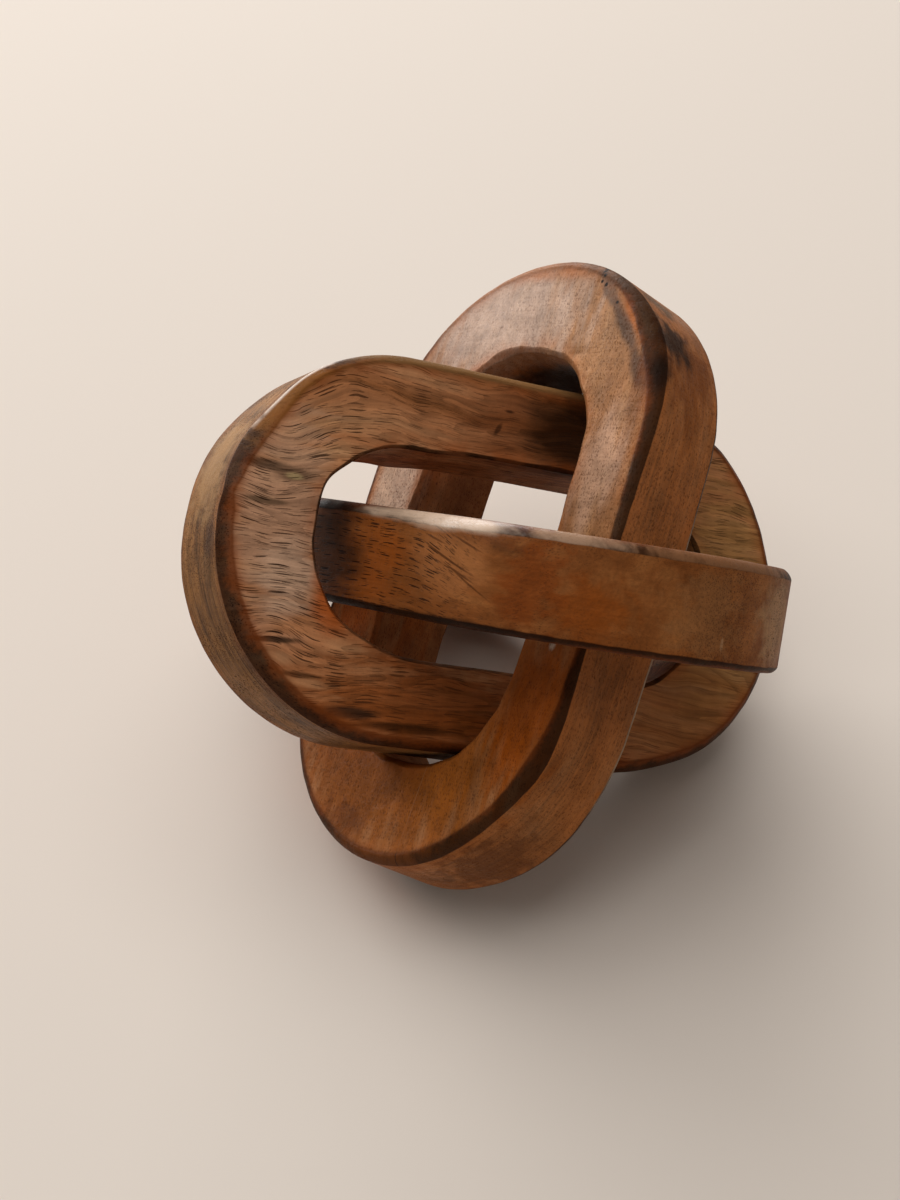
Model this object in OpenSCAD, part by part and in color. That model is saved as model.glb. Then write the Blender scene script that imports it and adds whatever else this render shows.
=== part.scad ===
// Wooden knot: three long oval links, threaded so that no two of them are chained together
// but the three cannot come apart. They are loose, and lean on each other where they stand.

/* [Link] */
// Thickness of every link, from face to face
link_thickness = 22.75; // [17:0.25:28]
// Width of the wood along the two long sides of a link
side_bar = 19.75; // [15:0.25:25]
// Width of the wood at the two ends of a link
end_bar = 22.5; // [17:0.5:29]
// Free room beside each face of the link that passes through a slot
face_play = 12.25; // [9:0.25:17]
// Free room beside each edge of the link that passes through a slot
edge_play = 8; // [5:0.25:11]

/* [Edges] */
// Bevel on the outer edges of a link
outer_bevel = 1.7; // [0.8:0.1:4]
// Bevel on the edges of a slot
slot_bevel = 1; // [0.4:0.1:2]

/* [Glued link] */
// Thickness of the glue between the two halves of the upright link
glue_line = 0.2; // [0.1:0.05:0.5]
// Distance of the glue from the long axis, halfway along the link
glue_offset = -10.75; // [-14:0.25:14]
// Turn of the glue away from the long axis
glue_skew = -3.1; // [-5:0.1:5]

/* [Resting pose] */
// Least gap left between two links that rest against each other
link_gap = 0.5; // [0.3:0.1:1.5]
// Turn of the whole knot about the vertical
heading = 198; // [0:0.5:360]
// Lean of the left link about its long, wide and thick axes
left_lean = [3.1, 6.1, 3.7]; // [-12:0.1:12]
// Lean of the cross link about its long, wide and thick axes
cross_lean = [5.1, 6.9, 2.6]; // [-12:0.1:12]
// Lean of the upright link about its long, wide and thick axes
upright_lean = [8.1, 9.4, -2.1]; // [-12:0.1:12]
// Sideways drift of the left link's middle
left_drift = [-1.6, -0.8]; // [-4:0.1:4]
// Sideways drift of the cross link's middle
cross_drift = [0.6, -1.3]; // [-4:0.1:4]
// Sideways drift of the upright link's middle
upright_drift = [0.6, 2]; // [-4:0.1:4]

/* [Hidden] */
$fn = 96;

// Sizes that follow from the wood and the room around it
slot_width = link_thickness + 2 * face_play;
link_width = slot_width + 2 * side_bar;
slot_length = link_width + 2 * edge_play;
link_length = slot_length + 2 * end_bar;
link_straight = link_length - link_width;
slot_straight = slot_length - slot_width;
// How far a cutter runs past the surface that it cuts
cut_past = 1;

// Places of the links in the lists below, in their order round the vertical.
// Each link passes through the slot of the one before it.
LEFT = 0;
CROSS = 1;
UPRIGHT = 2;
lean = [left_lean, cross_lean, upright_lean];
drift = [left_drift, cross_drift, upright_drift];

// A square knot stands on one corner, so all three axes of each link slope alike
corner_roll = -45;
corner_rise = atan(1 / sqrt(2));

function about_x(a) = [[1, 0, 0], [0, cos(a), -sin(a)], [0, sin(a), cos(a)]];
function about_y(a) = [[cos(a), 0, sin(a)], [0, 1, 0], [-sin(a), 0, cos(a)]];
function about_z(a) = [[cos(a), -sin(a), 0], [sin(a), cos(a), 0], [0, 0, 1]];
// The same turn as rotate(v), as a matrix
function turn(v) = about_z(v.z) * about_y(v.y) * about_x(v.x);

function link_heading(i) = heading + 120 * i;
// Turn of a link that has settled by a share of its full lean
function link_turn(i, share) =
    about_z(link_heading(i)) * turn([corner_roll, -corner_rise, 0]) * turn(share * lean[i]);

// How far a turned link reaches from its middle along a direction
function link_reach(m, way) =
    let (d = way * m)
    let (rim = norm([d.x, d.y]))
    let (at_wall = link_width / 2 * rim + (link_thickness / 2 - outer_bevel) * abs(d.z))
    let (at_face = (link_width / 2 - outer_bevel) * rim + link_thickness / 2 * abs(d.z))
    link_straight / 2 * abs(d.x) + max(at_wall, at_face);

// Middle of a link, at the height where its lowest point touches the table
function link_middle(i, share) =
    let (height = link_reach(link_turn(i, share), [0, 0, -1]))
    [share * drift[i].x, share * drift[i].y, height];

// Points round both ends of a slot, on its two faces and halfway between them
slot_rim = [
    for (level = [-1, 0, 1])
    for (end = [-1, 1])
    for (a = [-90 : 5 : 90])
    [
        end * (slot_straight / 2 + slot_width / 2 * cos(a)),
        slot_width / 2 * sin(a),
        level * link_thickness / 2
    ]
];

// Distance from a point, given in a link's own axes, to the outside of that link
function gap_to_link(p) =
    let (wall = norm([max(abs(p.x) - link_straight / 2, 0), p.y]) - link_width / 2)
    let (face = abs(p.z) - link_thickness / 2)
    max(wall, face, (wall + face + outer_bevel) / sqrt(2));

// Least gap between any slot and the link that passes through it
function least_gap(share) = min([
    for (i = [LEFT, CROSS, UPRIGHT])
    let (j = (i + 1) % 3)
    let (slot_turn = link_turn(i, share))
    let (through_turn = link_turn(j, share))
    let (apart = link_middle(i, share) - link_middle(j, share))
    for (p = slot_rim)
    gap_to_link((slot_turn * p + apart) * through_turn)
]);

// The share of the full lean at which the links come to rest, found by halving
function settled(low, high, steps) =
    steps == 0 ? low :
    let (half = (low + high) / 2)
    least_gap(half) > link_gap ? settled(half, high, steps - 1) : settled(low, half, steps - 1);
rest_share = settled(0, 2, 16);

// The origin is on the table, below the middle of the whole knot's outline
function knot_reach(way) = max([
    for (i = [LEFT, CROSS, UPRIGHT])
    link_middle(i, rest_share) * way + link_reach(link_turn(i, rest_share), way)
]);
knot_middle = [
    (knot_reach([1, 0, 0]) - knot_reach([-1, 0, 0])) / 2,
    (knot_reach([0, 1, 0]) - knot_reach([0, -1, 0])) / 2,
    0
];

// Section of an oval slab across its width: a bevel above 0 narrows its faces, one below 0 flares them
module slab_section(width, thickness, bevel) {
    face = width / 2 - bevel;
    wall = width / 2;
    top = thickness / 2;
    shoulder = top - abs(bevel);
    polygon([
        [0, -top], [face, -top], [wall, -shoulder],
        [wall, shoulder], [face, top], [0, top]
    ]);
}

// Slab with straight sides and round ends, long on X and thick on Z
module oval_slab(length, width, thickness, bevel) {
    straight = length - width;
    for (end = [0, 180])
        rotate([0, 0, end])
            translate([straight / 2, 0, 0])
                rotate([0, 0, -90])
                    rotate_extrude(angle = 180)
                        slab_section(width, thickness, bevel);
    for (side = [0, 180])
        rotate([0, 0, side])
            rotate([90, 0, 90])
                linear_extrude(straight, center = true)
                    slab_section(width, thickness, bevel);
}

// One whole link in its own axes
module oval_link() {
    difference() {
        oval_slab(link_length, link_width, link_thickness, outer_bevel);
        oval_slab(slot_length, slot_width, link_thickness + 2 * cut_past, -(slot_bevel + cut_past));
    }
}

// Moves a link from its own axes to where it rests
module at_rest(i) {
    translate(link_middle(i, rest_share) - knot_middle)
        rotate([0, 0, link_heading(i)])
            rotate([corner_roll, -corner_rise, 0])
                rotate(rest_share * lean[i])
                    children();
}

// The part of a link between two distances from the middle of its glue
module link_slice(from, to) {
    intersection() {
        oval_link();
        translate([0, glue_offset, 0])
            rotate([0, 0, glue_skew])
                translate([-link_length, from, -link_thickness])
                    cube([2 * link_length, to - from, 2 * link_thickness]);
    }
}

module left_link() {
    color("#7a4f33")
        at_rest(LEFT)
            oval_link();
}

module cross_link() {
    color("#70401f")
        at_rest(CROSS)
            oval_link();
}

module upright_link_left_half() {
    color("#8f5f42")
        at_rest(UPRIGHT)
            link_slice(glue_line / 2, 2 * link_width);
}

module upright_link_right_half() {
    color("#86512f")
        at_rest(UPRIGHT)
            link_slice(-2 * link_width, -glue_line / 2);
}

module upright_link_glue() {
    color("#2e1c12")
        at_rest(UPRIGHT)
            link_slice(-glue_line / 2, glue_line / 2);
}

left_link();
cross_link();
upright_link_left_half();
upright_link_right_half();
upright_link_glue();
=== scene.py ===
"""Looks of a wooden knot: three loose oval links, sawn from planks, bevelled by hand, oiled and waxed.

Each link is made in its own axes in millimetres: x along its length, y across its width and z through
its thickness, with the face that shows to the camera at +z. The grain of the wood runs along x.
"""

import logging
import math
from collections.abc import Mapping, Sequence
from dataclasses import dataclass
from enum import Enum
from typing import Any

import bmesh
import bpy
import numpy as np
from mathutils import Euler, Matrix, Vector


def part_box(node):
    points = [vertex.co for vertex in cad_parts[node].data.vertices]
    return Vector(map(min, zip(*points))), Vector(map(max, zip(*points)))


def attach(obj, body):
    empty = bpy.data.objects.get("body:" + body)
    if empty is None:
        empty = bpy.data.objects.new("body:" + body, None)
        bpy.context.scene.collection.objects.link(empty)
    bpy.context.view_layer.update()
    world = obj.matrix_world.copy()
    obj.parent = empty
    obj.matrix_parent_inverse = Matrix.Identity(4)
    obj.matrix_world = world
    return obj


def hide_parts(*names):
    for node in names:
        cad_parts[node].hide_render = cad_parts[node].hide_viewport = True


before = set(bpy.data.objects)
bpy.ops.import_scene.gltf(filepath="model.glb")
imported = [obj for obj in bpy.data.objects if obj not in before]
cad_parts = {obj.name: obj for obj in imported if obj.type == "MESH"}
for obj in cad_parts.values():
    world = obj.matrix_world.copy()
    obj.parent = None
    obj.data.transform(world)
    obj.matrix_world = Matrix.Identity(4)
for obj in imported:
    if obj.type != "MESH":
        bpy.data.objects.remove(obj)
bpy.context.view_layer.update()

LOG = logging.getLogger("wooden_knot")
MM = 0.001
# Height of a link's front face over its middle, in mm, where most patches lie
FACE = 11.4

Triple = tuple[float, float, float]
Socket = bpy.types.NodeSocket
Tree = bpy.types.NodeTree


def linear(colour: str) -> tuple[float, float, float, float]:
    """Turns a colour from sRGB hex to linear.

    Args:
        colour: Six hex digits after a hash sign.

    Returns:
        Red, green, blue and an alpha of 1.
    """
    shares = [int(colour[i : i + 2], 16) / 255 for i in (1, 3, 5)]
    red, green, blue = [c / 12.92 if c <= 0.04045 else ((c + 0.055) / 1.055) ** 2.4 for c in shares]
    return red, green, blue, 1.0


def add_node(
    tree: Tree, kind: str, inputs: Mapping[str | int, Any] | Sequence[Any] = (), **options: Any
) -> bpy.types.NodeOutputs:
    """Adds a node with its settings and links.

    Args:
        tree: The node tree that gets the node.
        kind: Blender's name for the kind of node, after ShaderNode.
        inputs: A value or another node's output for each input, by name or number, or in order from the first.
        **options: Settings of the node itself.

    Returns:
        The new node's outputs.
    """
    node = tree.nodes.new(f"ShaderNode{kind}")
    for name, value in options.items():
        setattr(node, name, value)
    for key, value in inputs.items() if isinstance(inputs, Mapping) else enumerate(inputs):
        if isinstance(value, Socket):
            tree.links.new(value, node.inputs[key])
        else:
            node.inputs[key].default_value = value
    return node.outputs


def new_material(name: str) -> tuple[bpy.types.Material, Tree]:
    """Makes a material with an empty node tree.

    Args:
        name: The material's name.

    Returns:
        The material and its tree.
    """
    material = bpy.data.materials.new(name)
    material.use_nodes = True
    material.node_tree.nodes.clear()
    return material, material.node_tree


def add_object(name: str, data: bpy.types.ID) -> bpy.types.Object:
    """Puts a new object into the scene.

    Args:
        name: The object's name.
        data: Its mesh, lamp or camera.

    Returns:
        The new object.
    """
    item = bpy.data.objects.new(name, data)
    bpy.context.scene.collection.objects.link(item)
    return item


def link_places(tree: Tree, place: Matrix) -> Socket:
    """Gives each point of a piece its place in its link's own axes.

    Args:
        tree: The material's tree.
        place: The move from the link's own axes, in metres, to the shared frame.

    Returns:
        Places in mm.
    """
    back = place.inverted()
    move = {"Location": back.to_translation() / MM, "Rotation": back.to_euler(), "Scale": (1 / MM,) * 3}
    own = add_node(tree, "TexCoord")["Object"]
    return add_node(tree, "Mapping", {"Vector": own, **move}, vector_type="POINT")[0]


class Lies(Enum):
    """What a patch covers."""

    UNDER = "wood, under the vessels and the stain"
    BEVEL = "bevels, over their stain"
    RIDGE = "ridge between a bevel and the outer wall"
    OVER = "everything"


@dataclass(frozen=True)
class Patch:
    """A place painted another colour, for the wood's own tone and for painted light and shade: an ellipsoid in mm,
    turned in degrees, with a ragged edge.
    """

    middle: Triple
    reach: Triple
    colour: str
    strength: float
    ragged: float = 0.6
    lies: Lies = Lies.UNDER
    heading: float = 0.0
    fall: float = 0.0


@dataclass(frozen=True)
class Bow:
    """A place where the grain bends round a knot: where it is, how far it reaches and how far it pulls, in mm."""

    middle: Triple
    reach: Triple
    pull: Triple


@dataclass(frozen=True)
class Spot:
    """A place with more wax than the rest: where it is and how far it reaches in mm, and how much it shows."""

    middle: Triple
    reach: Triple
    share: float


@dataclass(frozen=True)
class Vessels:
    """Opened vessels of one kind.

    Each has its room along and across the grain, in mm. The bore is half the share of its room that the
    widest takes, and the depth is how dark it shows.
    """

    length: float
    width: float
    bore: float
    depth: float


@dataclass(frozen=True)
class OiledHardwood:
    """Open-grained tropical hardwood, sawn, sanded, oiled and waxed.

    The saw cuts its long vessels open, so the eye sees short dark dashes along the grain and dots on the
    ends. Oil deepens the colour, stain gathers in the bevels, and wax leaves a satin gloss.
    """

    name: str
    dark: str
    middle: str
    pale: str
    pore: str
    stain: str
    stain_glow: str
    edge_glow: str
    wall: str
    wall_share: float
    pores: Vessels
    dots: Vessels
    ring_depth: float
    fibre_depth: float
    bumps: float
    patches: tuple[Patch, ...]
    fills: tuple[Spot, ...]
    polishes: tuple[Spot, ...] = ()
    bows: tuple[Bow, ...] = ()
    place: Triple = (0.0, 0.0, 0.0)
    figure: float = 2.2
    ripple: float = 0.8
    run_out: tuple[float, float] = (1.0, 1.0)
    mottle: float = 0.12
    wall_streak: float = 0.4
    glow_share: float = 0.6
    stain_share: float = 0.85
    stain_reach: float = 1.2
    rim_share: float = 1.0

    def build(self, place: Matrix) -> bpy.types.Material:
        """Makes the material.

        Args:
            place: The move from the link's own axes to the shared frame.

        Returns:
            The finished material.
        """
        material, tree = new_material(self.name)
        plank = link_places(tree, place)
        grain = self._grain(tree, plank)
        colour = self._tone(tree, grain)
        colour = self._patches(tree, plank, colour, (Lies.UNDER,))
        colour = self._fibres(tree, grain, colour)
        colour = self._walls(tree, plank, colour)
        filled = self._waxed(tree, plank, self.fills)
        open_share = add_node(tree, "Math", (1.0, filled), operation="SUBTRACT")[0]
        holes: list[Socket] = []
        for vessels in (self.dots, self.pores):
            inside = self._vessels(tree, grain, vessels)
            hole = add_node(tree, "Math", (inside, open_share), operation="MULTIPLY", use_clamp=True)[0]
            share = add_node(tree, "Math", (hole, vessels.depth), operation="MULTIPLY")[0]
            colour = add_node(tree, "Mix", {0: share, 6: colour, 7: linear(self.pore)}, data_type="RGBA")[2]
            holes.append(hole)
        colour = self._edges(tree, plank, colour)
        colour = self._patches(tree, plank, colour, (Lies.BEVEL, Lies.RIDGE, Lies.OVER))
        self._surface(tree, plank, grain, colour, *holes)
        return material

    def _grain(self, tree: Tree, plank: Socket) -> Socket:
        """Bends the straight grain into a gentle figure and round the knots.

        Where it runs out of a surface, the saw cuts vessels short, so run_out holds the sway back across
        the width or through the thickness.

        Args:
            tree: The material's tree.
            plank: Places in the link's own axes, in mm.

        Returns:
            Places along the bent grain, in mm.
        """
        grain = add_node(tree, "VectorMath", (plank, self.place), operation="ADD")[0]
        # The figure has slow waves, about 45 mm long and 20 mm wide, and quick ones of 15 by 7 mm
        for long, wide, swing in ((45, 20, self.figure), (15, 7, self.ripple)):
            cells = add_node(tree, "VectorMath", (grain, (long, wide, wide)), operation="DIVIDE")[0]
            noise = add_node(tree, "TexNoise", {"Vector": cells, "Scale": 1.0, "Detail": 1.5})["Color"]
            most = 2 * swing * Vector((0.0, *self.run_out))
            sway = add_node(tree, "VectorMath", (noise, 2 * most, -most), operation="MULTIPLY_ADD")[0]
            grain = add_node(tree, "VectorMath", (grain, sway), operation="ADD")[0]
        for bow in self.bows:
            near = self._near(tree, plank, bow)
            pull = add_node(tree, "VectorMath", {0: bow.pull, "Scale": near}, operation="SCALE")[0]
            grain = add_node(tree, "VectorMath", (grain, pull), operation="SUBTRACT")[0]
        return grain

    def _near(self, tree: Tree, plank: Socket, spot: Bow | Spot) -> Socket:
        """Tells how near each point is to a place.

        Args:
            tree: The material's tree.
            plank: Places in the link's own axes, in mm.
            spot: The place.

        Returns:
            1 at the place, fading to 0 beyond its reach.
        """
        place = {"Vector": plank, "Location": spot.middle, "Scale": spot.reach}
        inner = add_node(tree, "Mapping", place, vector_type="TEXTURE")[0]
        square = add_node(tree, "VectorMath", (inner, inner), operation="DOT_PRODUCT")["Value"]
        return add_node(tree, "Math", (math.exp(-1), square), operation="POWER")[0]

    def _waxed(self, tree: Tree, plank: Socket, spots: Sequence[Spot]) -> Socket:
        """Tells how much wax the waxed places hold.

        Args:
            tree: The material's tree.
            plank: Places in the link's own axes, in mm.
            spots: One place or more.

        Returns:
            0 where there is no more wax than usual.
        """
        total: Socket | float = 0.0
        for spot in spots:
            near = self._near(tree, plank, spot)
            total = add_node(tree, "Math", (near, spot.share, total), operation="MULTIPLY_ADD")[0]
        return total

    def _tone(self, tree: Tree, grain: Socket) -> Socket:
        """Colours the growth layers.

        Args:
            tree: The material's tree.
            grain: Places along the grain, in mm.

        Returns:
            The colour of the clear wood.
        """
        # Growth layers are about 8 mm apart and run the length of a link
        layers = add_node(tree, "VectorMath", (grain, (120, 8, 8)), operation="DIVIDE")[0]
        layer = add_node(tree, "TexNoise", {"Vector": layers, "Scale": 1.0, "Detail": 3.0, "Roughness": 0.55})[0]
        tone = add_node(tree, "ValToRGB", (layer,))[0]
        stops = tone.node.color_ramp.elements
        stops[0].position, stops[0].color = 0.32, linear(self.dark)
        stops[1].position, stops[1].color = 0.70, linear(self.pale)
        stops.new(0.50).color = linear(self.middle)
        return tone

    def _fibres(self, tree: Tree, grain: Socket, colour: Socket) -> Socket:
        """Draws the late wood of each year, the fine fibres and the uneven oil.

        Args:
            tree: The material's tree.
            grain: Places along the grain, in mm.
            colour: The colour so far.

        Returns:
            The colour with its streaks.
        """
        # Each year's late wood darkens slowly and ends sharply, about every 3 mm
        years = add_node(tree, "VectorMath", (grain, (85, 11, 11)), operation="DIVIDE")[0]
        age = add_node(tree, "TexNoise", {"Vector": years, "Scale": 1.0, "Detail": 2.0, "Roughness": 0.45})[0]
        count = add_node(tree, "Math", (age, 14.0), operation="MULTIPLY")[0]
        season = add_node(tree, "Math", (count,), operation="FRACT")[0]
        late = (season, 0.35, 0.98, 1.0, 1 - self.ring_depth)
        shade = add_node(tree, "MapRange", late, interpolation_type="SMOOTHSTEP")[0]
        # Fibres are drawn as streaks 0.8 mm wide, coarser than real ones, so that they show
        fibres = add_node(tree, "VectorMath", (grain, (20, 0.8, 0.8)), operation="DIVIDE")[0]
        fibre = add_node(tree, "TexNoise", {"Vector": fibres, "Scale": 1.0, "Detail": 3.0, "Roughness": 0.65})[0]
        # Oil soaks in unevenly, over about 7 mm
        oil = add_node(tree, "TexNoise", {"Vector": grain, "Scale": 1 / 7, "Detail": 6.0, "Roughness": 0.72})[0]
        for pattern, low, high, depth in ((fibre, 0.28, 0.72, self.fibre_depth), (oil, 0.32, 0.68, self.mottle)):
            tint = add_node(tree, "MapRange", (pattern, low, high, 1 - depth, 1 + depth))[0]
            shade = add_node(tree, "Math", (shade, tint), operation="MULTIPLY")[0]
        return add_node(tree, "VectorMath", {0: colour, "Scale": shade}, operation="SCALE")[0]

    def _vessels(self, tree: Tree, grain: Socket, vessels: Vessels) -> Socket:
        """Draws the opened vessels of one kind.

        Args:
            tree: The material's tree.
            grain: Places along the grain, in mm.
            vessels: Their sizes.

        Returns:
            1 inside a vessel, and 0 in the wood around it.
        """
        room = (vessels.length, vessels.width, vessels.width)
        cells = add_node(tree, "VectorMath", (grain, room), operation="DIVIDE")[0]
        vessel = add_node(tree, "TexVoronoi", {"Vector": cells, "Scale": 1.0, "Randomness": 1.0})
        chance = add_node(tree, "SeparateColor", (vessel["Color"],))[0]
        wide = add_node(tree, "MapRange", (chance, 0.15, 0.85, 0.0, vessels.bore))[0]
        inside = add_node(tree, "Math", (wide, vessel["Distance"]), operation="SUBTRACT")[0]
        return add_node(tree, "MapRange", (inside, -0.02, 0.05, 0.0, 1.0), interpolation_type="SMOOTHSTEP")[0]

    def _patches(self, tree: Tree, plank: Socket, colour: Socket, kinds: Sequence[Lies]) -> Socket:
        """Lays the streaks, the knot, the warm and grey places, and painted light and shade over the wood.

        Args:
            tree: The material's tree.
            plank: Places in the link's own axes, in mm.
            colour: The colour so far.
            kinds: Which patches to lay.

        Returns:
            The colour with the patches on it.
        """
        # Their edges break up along fibres 14 mm long and 3 mm wide
        torn = add_node(tree, "VectorMath", (plank, (14, 3, 3)), operation="DIVIDE")[0]
        tear = add_node(tree, "TexNoise", {"Vector": torn, "Scale": 1.0, "Detail": 3.0})[0]
        masks: dict[Lies, Socket] = {}
        if Lies.BEVEL in kinds:
            bevel, across = (add_node(tree, "Attribute", attribute_name=name)["Fac"] for name in ("bevel", "across"))
            # The ridge mask carries a painted glint along the edge between a bevel and the outer wall
            ridge = add_node(tree, "MapRange", (across, 0.3, 0.05, 0.0, bevel), interpolation_type="SMOOTHSTEP")[0]
            masks = {Lies.BEVEL: bevel, Lies.RIDGE: ridge}
        for patch in self.patches:
            if patch.lies not in kinds:
                continue
            turn = (0.0, math.radians(patch.fall), math.radians(patch.heading))
            place = {"Vector": plank, "Location": patch.middle, "Rotation": turn, "Scale": patch.reach}
            inner = add_node(tree, "Mapping", place, vector_type="TEXTURE")[0]
            away = add_node(tree, "VectorMath", (inner,), operation="LENGTH")["Value"]
            edge = add_node(tree, "Math", (tear, 2 * patch.ragged, away), operation="MULTIPLY_ADD")[0]
            fade = (edge, 1 + patch.ragged, 0.35 + patch.ragged, 0.0, patch.strength)
            share = add_node(tree, "MapRange", fade, interpolation_type="SMOOTHSTEP")[0]
            if patch.lies in masks:
                share = add_node(tree, "Math", (share, masks[patch.lies]), operation="MULTIPLY")[0]
            colour = add_node(tree, "Mix", {0: share, 6: colour, 7: linear(patch.colour)}, data_type="RGBA")[2]
        return colour

    def _walls(self, tree: Tree, plank: Socket, colour: Socket) -> Socket:
        """Greys the outer wall, where a belt sander ran along the outline.

        Args:
            tree: The material's tree.
            plank: Places in the link's own axes, in mm.
            colour: The colour so far.

        Returns:
            The colour with the belt's lines on the wall.
        """
        # The lines are 16 mm long and drawn 0.6 mm apart, coarser than the grit, so that they show
        lines = add_node(tree, "VectorMath", (plank, (16, 16, 0.6)), operation="DIVIDE")[0]
        line = add_node(tree, "TexNoise", {"Vector": lines, "Scale": 1.0, "Detail": 3.0, "Roughness": 0.6})[0]
        # Dirt from the belt comes and goes over about 12 mm
        dirt = add_node(tree, "TexNoise", {"Vector": plank, "Scale": 1 / 12, "Detail": 3.0, "Roughness": 0.6})[0]
        both = add_node(tree, "Math", (line, dirt), operation="ADD")[0]
        shade = add_node(tree, "MapRange", (both, 0.8, 1.2, 1 - self.wall_streak, 1 + self.wall_streak))[0]
        hue = add_node(tree, "VectorMath", {0: linear(self.wall)[:3], "Scale": shade}, operation="SCALE")[0]
        wall = add_node(tree, "Attribute", attribute_name="wall")["Fac"]
        share = add_node(tree, "Math", (wall, self.wall_share), operation="MULTIPLY")[0]
        return add_node(tree, "Mix", {0: share, 6: colour, 7: hue}, data_type="RGBA")[2]

    def _edges(self, tree: Tree, plank: Socket, colour: Socket) -> Socket:
        """Warms the edges and darkens the bevels and the rims of the slot, where stain gathers.

        Args:
            tree: The material's tree.
            plank: Places in the link's own axes, in mm.
            colour: The colour so far.

        Returns:
            The colour with dark edges.
        """
        bevel, across, glow, rim = (
            add_node(tree, "Attribute", attribute_name=name)["Fac"] for name in ("bevel", "across", "glow", "rim")
        )
        # Stain comes and goes over about 9 mm, and its edge is speckled with grains of 0.9 mm
        blotch = add_node(tree, "TexNoise", {"Vector": plank, "Scale": 1 / 9, "Detail": 3.0, "Roughness": 0.6})[0]
        speckle = add_node(tree, "TexNoise", {"Vector": plank, "Scale": 1 / 0.9, "Detail": 2.0})[0]
        patchy = add_node(tree, "MapRange", (blotch, 0.3, 0.6, 0.0, self.glow_share))[0]
        warm = add_node(tree, "Math", (glow, patchy), operation="MULTIPLY")[0]
        colour = add_node(tree, "Mix", {0: warm, 6: colour, 7: linear(self.edge_glow)}, data_type="RGBA")[2]
        level = across
        for pattern, weight in ((blotch, 1.5), (speckle, 0.5)):
            level = add_node(tree, "Math", (pattern, weight, level), operation="MULTIPLY_ADD")[0]
        fade = (level, self.stain_reach + 0.65, self.stain_reach)
        soaked = add_node(tree, "MapRange", fade, interpolation_type="SMOOTHSTEP")[0]
        hues = {0: soaked, 6: linear(self.stain_glow), 7: linear(self.stain)}
        hue = add_node(tree, "Mix", hues, data_type="RGBA")[2]
        share = add_node(tree, "Math", (bevel, self.stain_share), operation="MULTIPLY")[0]
        colour = add_node(tree, "Mix", {0: share, 6: colour, 7: hue}, data_type="RGBA")[2]
        # A thin dark line follows the rim of the slot, broken where hands rubbed it
        dark = add_node(tree, "Math", (rim, self.rim_share), operation="MULTIPLY")[0]
        rubbed = add_node(tree, "MapRange", (blotch, 0.35, 0.65, 0.85, 0.35))[0]
        dark = add_node(tree, "Math", (dark, rubbed), operation="MULTIPLY")[0]
        return add_node(tree, "Mix", {0: dark, 6: colour, 7: linear(self.stain)}, data_type="RGBA")[2]

    def _surface(
        self, tree: Tree, plank: Socket, grain: Socket, colour: Socket, dots: Socket, pores: Socket
    ) -> None:
        """Gives the wood its gloss, its opened grain and the faint bumps under the wax.

        Args:
            tree: The material's tree.
            plank: Places in the link's own axes, in mm.
            grain: Places along the grain, in mm.
            colour: The finished colour.
            dots: 1 inside a small vessel.
            pores: 1 inside a long vessel.
        """
        # Wax lies thicker here and thinner there, over about 10 mm
        wax = add_node(tree, "TexNoise", {"Vector": plank, "Scale": 1 / 10, "Detail": 3.0})[0]
        satin = add_node(tree, "MapRange", (wax, 0.35, 0.65, 0.40, 0.52))[0]
        rough = add_node(tree, "Math", (pores, 0.25, satin), operation="MULTIPLY_ADD")[0]
        # The wood's tooth, drawn 0.6 mm wide so that it shows, breaks the gloss up
        tooth = add_node(tree, "TexNoise", {"Vector": plank, "Scale": 1 / 0.6, "Detail": 3.0, "Roughness": 0.6})[0]
        gloss: Socket | float = 0.0
        if self.polishes:
            both = add_node(tree, "Math", (wax, tooth), operation="ADD")[0]
            scuffed = add_node(tree, "MapRange", (both, 0.8, 1.15, 0.15, 1.0))[0]
            polish = self._waxed(tree, plank, self.polishes)
            gloss = add_node(tree, "Math", (polish, scuffed), operation="MULTIPLY")[0]
        # Heights in mm: sanding leaves fine lines along the grain, drawn 0.5 mm apart so that they show,
        # vessels lie open, and raised grain under the wax makes bumps about 2.4 mm across
        lines = add_node(tree, "VectorMath", (grain, (9, 0.5, 0.5)), operation="DIVIDE")[0]
        line = add_node(tree, "TexNoise", {"Vector": lines, "Scale": 1.0, "Detail": 2.0})[0]
        raised = add_node(tree, "TexNoise", {"Vector": plank, "Scale": 1 / 2.4, "Detail": 2.0})[0]
        height: Socket | float = 0.0
        for relief, tall in ((line, 0.04), (pores, -0.08), (dots, -0.04), (raised, self.bumps), (tooth, 0.05)):
            height = add_node(tree, "Math", (relief, tall, height), operation="MULTIPLY_ADD")[0]
        bump = add_node(tree, "Bump", {"Height": height, "Strength": 1.0, "Distance": MM})[0]
        looks = {
            "Base Color": colour,
            "Roughness": rough,
            "Normal": bump,
            "IOR": 1.48,
            "Specular IOR Level": 0.06,
            "Coat Weight": gloss,
            "Coat Roughness": 0.32,
        }
        shader = add_node(tree, "BsdfPrincipled", looks)[0]
        add_node(tree, "OutputMaterial", {"Surface": shader})


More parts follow.
